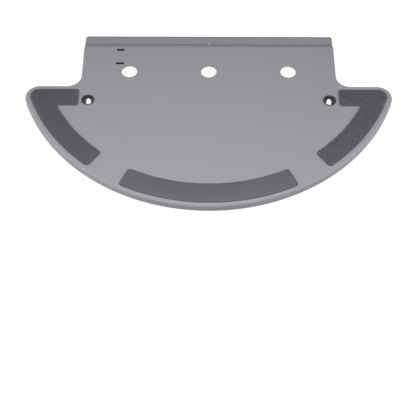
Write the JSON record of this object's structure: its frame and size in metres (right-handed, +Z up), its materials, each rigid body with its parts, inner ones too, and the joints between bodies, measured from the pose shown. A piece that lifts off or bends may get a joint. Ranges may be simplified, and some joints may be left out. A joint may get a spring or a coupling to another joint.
{
  "type": "robot vacuum mop bracket",
  "caption": "Thin moulded half-disc plate with ears and a stepped back lip, hook strips on its top for a mop cloth, and split snap posts below that clip it under a floor robot.",
  "frame": {"origin": "middle of the footprint, at the height of the snap posts' tips", "axes": "+X along the width from ear tip to ear tip, +Y from the curved front edge to the straight lip, +Z up, out of the face that carries the hook pads"},
  "size_m": [0.3156, 0.1886, 0.0228],
  "materials": {
    "plate_plastic": "satin moulded ABS, warm light grey, fine even grain",
    "hook_tape": "dark grey hook tape with rows of fine nylon hooks",
    "black_plastic": "black semi-matt nylon"
  },
  "bodies": {
    "root": {"bracket_plate": "plate_plastic", "hook_pad_center": "hook_tape", "hook_pad_left": "hook_tape", "hook_pad_right": "hook_tape", "snap_post_left": "black_plastic", "snap_post_right": "black_plastic", "slot_insert": "black_plastic"}
  },
  "joints": []
}
